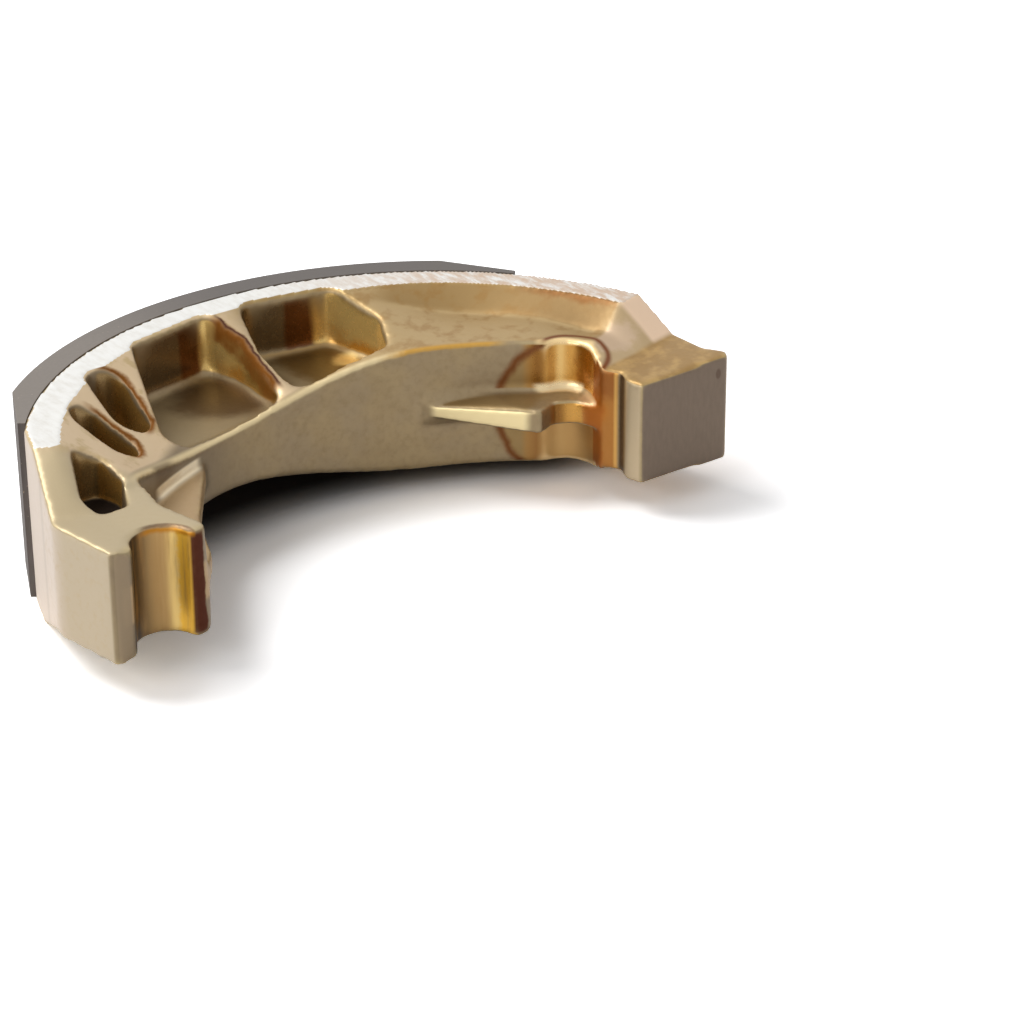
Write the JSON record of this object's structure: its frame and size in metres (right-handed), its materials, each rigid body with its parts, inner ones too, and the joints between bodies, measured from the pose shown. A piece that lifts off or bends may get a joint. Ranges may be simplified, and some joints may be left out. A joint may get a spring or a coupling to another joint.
{
  "type": "brake shoe",
  "caption": "Half-moon drum brake shoe: ribbed aluminium casting with a half-round anchor seat, a flat cam pad and a spring lug, under a bonded friction lining.",
  "frame": {"origin": "on the drum's axis, half way across the shoe's width", "axes": "+X from the anchor pin towards the cam, +Y towards the crown of the lining, +Z along the drum's axis; the part lies on its machined side at Z -12.5 mm"},
  "size_m": [0.1008, 0.055, 0.025],
  "materials": {
    "cast_aluminium": "satin, die cast, with a golden coating and bare machined sides",
    "friction_material": "matte, ground, with fine pale flecks"
  },
  "bodies": {
    "root": {"shoe_casting": "cast_aluminium", "friction_lining": "friction_material"}
  },
  "joints": []
}
